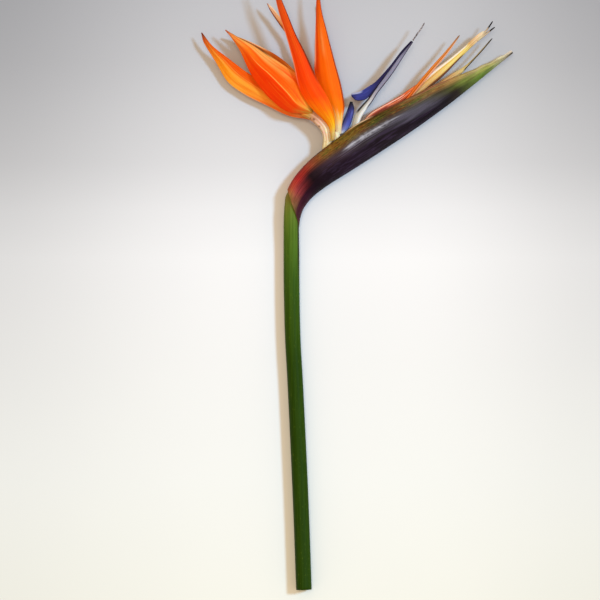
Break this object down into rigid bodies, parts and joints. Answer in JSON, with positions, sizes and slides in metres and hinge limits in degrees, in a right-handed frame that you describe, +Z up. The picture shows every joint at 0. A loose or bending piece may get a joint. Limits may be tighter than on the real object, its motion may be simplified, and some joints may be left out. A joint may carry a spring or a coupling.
{
  "type": "bird of paradise flower",
  "caption": "Cut bird of paradise flower with an upright fan of orange sepals and blue arrow petals above a beaked spathe, lying on its side.",
  "frame": {"origin": "middle of the flower's footprint, on the surface it lies on", "axes": "+Y up along the stem from its cut end, +X towards the spathe's beak, +Z up from the surface"},
  "size_m": [0.2184, 0.4272, 0.0246],
  "materials": {
    "stem": "satin, waxy green plant stem",
    "spathe": "semi-gloss, waxy purple-black bract with green and red zones",
    "claw": "satin, fleshy cream",
    "sepal_orange": "satin orange petal",
    "sepal_red": "satin red-orange petal",
    "sepal_shaded": "satin shaded orange petal",
    "petal_blue": "matte blue-violet petal",
    "style": "matte brown-lilac",
    "bud_red": "satin red-orange bud",
    "bud_cream": "satin cream-yellow bud",
    "bud_olive": "satin olive bud"
  },
  "bodies": {
    "root": {"stem": "stem", "spathe": "spathe", "floret_1_claw": "claw", "floret_2_claw": "claw", "floret_1_sepal_lower": "sepal_orange", "floret_1_sepal_front": "sepal_red", "floret_1_sepal_back": "sepal_shaded", "floret_2_sepal_front": "sepal_red", "floret_2_sepal_right": "sepal_orange", "floret_2_sepal_left": "sepal_orange", "floret_2_arrow": "petal_blue", "floret_2_style": "style", "floret_2_hood": "petal_blue", "floret_1_arrow": "petal_blue", "floret_1_style": "style", "floret_1_hood": "petal_blue", "bud_1": "bud_red", "bud_2": "sepal_orange", "bud_3": "bud_cream", "bud_4": "bud_olive"}
  },
  "joints": []
}
